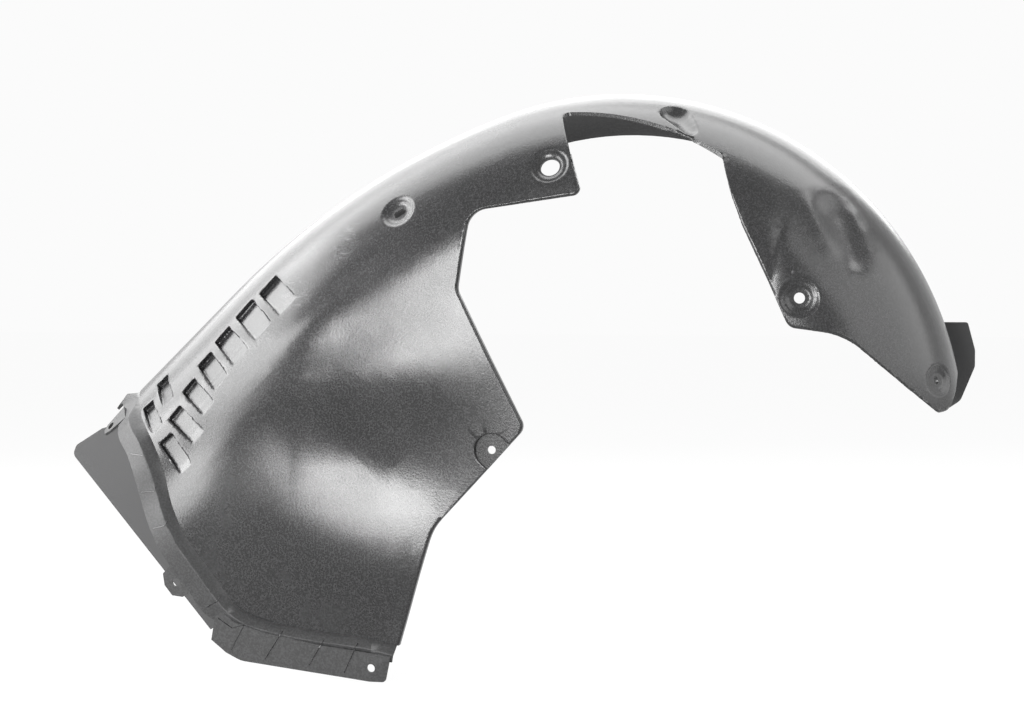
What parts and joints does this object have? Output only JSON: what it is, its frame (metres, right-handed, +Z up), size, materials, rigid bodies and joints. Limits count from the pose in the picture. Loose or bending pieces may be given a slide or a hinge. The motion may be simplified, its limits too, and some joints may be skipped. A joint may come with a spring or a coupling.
{
  "type": "wheel arch liner",
  "caption": "Formed plastic front wheel arch liner: rounded arch over the wheel, inboard side lobe, strut opening, louvre recesses, flanged front edge and clip holes.",
  "frame": {"origin": "wheel centre, on the wheel's axis in the middle of the arch", "axes": "+X to the rear of the car, +Y outboard along the wheel's axis, +Z up, as fitted on the right-hand side"},
  "size_m": [1.0313, 0.2391, 0.6083],
  "materials": {
    "black_plastic": "semi-gloss black, lightly grained"
  },
  "bodies": {
    "root": {"wheel_arch_liner": "black_plastic"}
  },
  "joints": []
}
